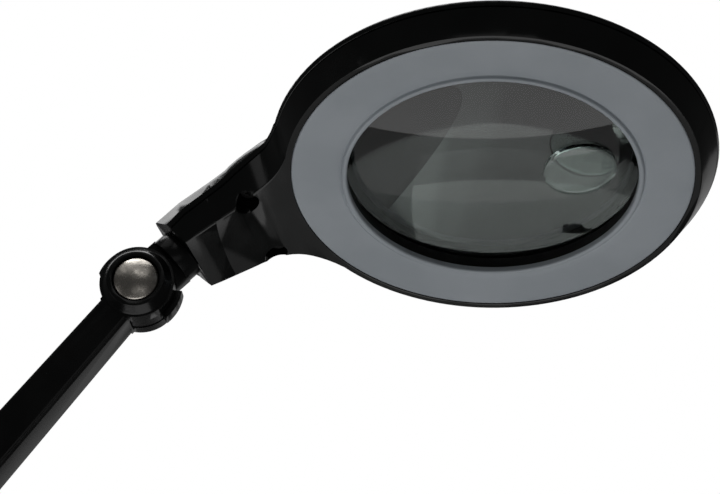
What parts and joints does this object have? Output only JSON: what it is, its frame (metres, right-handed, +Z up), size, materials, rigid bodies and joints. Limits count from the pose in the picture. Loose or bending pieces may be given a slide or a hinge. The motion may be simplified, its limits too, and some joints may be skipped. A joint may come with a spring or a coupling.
{
  "type": "magnifying lamp",
  "caption": "Clamp-on magnifying lamp: round lit ring around a large lens with a bifocal insert, dust cover, roll and tilt knuckle, and two jointed arms on a swivel post.",
  "frame": {"origin": "on the swivel post's axis, in the face of the clamp's upper jaw pad that rests on the table", "axes": "+Z up along the swivel post, +X towards the head, -Y the side the picture shows"},
  "size_m": [0.456, 0.1752, 0.8399],
  "materials": {
    "housing_black": "glossy moulded black",
    "cover_black": "glossy moulded black",
    "barrel_black": "matt black",
    "button_grey": "fine-grained dark grey",
    "diffuser_milky": "milky satin acrylic",
    "lens_glass": "polished clear glass",
    "board_white": "white solder mask",
    "board_green": "green solder mask",
    "led_yellow": "phosphor-coated LED packages",
    "rubber_black": "matt rubber",
    "nickel": "nickel plated, lightly mottled",
    "arm_black": "glossy black powder coat",
    "bush_brass": "turned",
    "knob_black": "moulded black",
    "steel": "zinc plated",
    "black_steel": "black oxide"
  },
  "bodies": {
    "clamp": {"clamp_body": "arm_black", "post_bush": "bush_brass", "jaw_pad": "rubber_black"},
    "pad": {"clamp_pad": "steel", "pad_rubber": "rubber_black"},
    "screw": {"clamp_screw": "steel", "clamp_handle": "steel", "handle_knobs": "knob_black"},
    "post": {"swivel_post": "arm_black"},
    "lower_arm": {"shoulder_fork": "arm_black", "lower_arm_tube": "arm_black", "lower_arm_pins": "steel", "elbow_eye": "arm_black", "power_inlet": "knob_black", "shoulder_bolt": "steel", "shoulder_cap_front": "nickel", "shoulder_cap_rear": "nickel", "shoulder_nut": "steel", "shoulder_washers": "steel"},
    "upper_arm": {"elbow_fork": "arm_black", "upper_arm_tube": "arm_black", "upper_arm_pins": "steel", "knuckle_fork": "arm_black", "elbow_bolt": "steel", "elbow_cap_front": "nickel", "elbow_cap_rear": "nickel", "elbow_nut": "steel", "elbow_washers": "steel", "knuckle_bolt": "steel", "knuckle_cap_front": "nickel", "knuckle_cap_rear": "nickel", "knuckle_nut": "steel", "knuckle_washers": "steel"},
    "tongue": {"knuckle_tongue": "arm_black", "roll_washers": "steel", "roll_nut": "steel"},
    "cover": {"flip_cover": "cover_black"},
    "button": {"switch_button": "button_grey"},
    "head": {"barrel_screws": "steel", "board_screws": "steel", "cover_pin": "steel", "diffuser_ring": "diffuser_milky", "driver_board": "board_green", "inner_barrel": "barrel_black", "led_board": "board_white", "leds": "led_yellow", "lens": "lens_glass", "lens_insert": "lens_glass", "lens_retainer": "barrel_black", "lens_seal": "rubber_black", "lower_housing": "housing_black", "neck_end_cover": "housing_black", "neck_screws": "black_steel", "roll_plate": "steel", "switch_bezel": "cover_black", "upper_housing": "housing_black"}
  },
  "joints": [
    {"name": "base_swivel", "type": "hinge", "parent": "clamp", "child": "post", "pos_m": [0, 0, 0.02], "axis": [0, 0, 1], "continuous": true},
    {"name": "shoulder", "type": "hinge", "parent": "post", "child": "lower_arm", "pos_m": [0, 0, 0.062], "axis": [0, -1, 0], "range_deg": [-45, 25]},
    {"name": "elbow", "type": "hinge", "parent": "lower_arm", "child": "upper_arm", "pos_m": [-0.11287, 0, 0.3721], "axis": [0, -1, 0], "range_deg": [-50, 45]},
    {"name": "knuckle_tilt", "type": "hinge", "parent": "upper_arm", "child": "tongue", "pos_m": [0.08803, 0, 0.63391], "axis": [0, -1, 0], "range_deg": [-45, 40]},
    {"name": "head_roll", "type": "hinge", "parent": "tongue", "child": "head", "pos_m": [0.08803, 0, 0.63391], "axis": [0.7169, 0, 0.6972], "range_deg": [-67.2, 112.8]},
    {"name": "cover_hinge", "type": "hinge", "parent": "head", "child": "cover", "pos_m": [0.30951, -0.04455, 0.70145], "axis": [0.2702, 0.9219, -0.2778], "range_deg": [0, 110]},
    {"name": "switch_press", "type": "slide", "parent": "head", "child": "button", "axis": [0.0147, -0.2925, -0.9562], "range_m": [0, 0.0015], "stiffness_N_per_m": 600, "springref_m": -0.0015},
    {"name": "pad_slide", "type": "slide", "parent": "clamp", "child": "pad", "axis": [0, 0, 1], "range_m": [-0.02, 0.024]},
    {"name": "screw_turn", "type": "hinge", "parent": "pad", "child": "screw", "pos_m": [0, 0.016, -0.06], "axis": [0, 0, 1], "range_deg": [-2405, 2885]}
  ],
  "couplings": [
    {"joint": "screw_turn", "follows": "pad_slide", "rad_per_m": 2094.4}
  ]
}
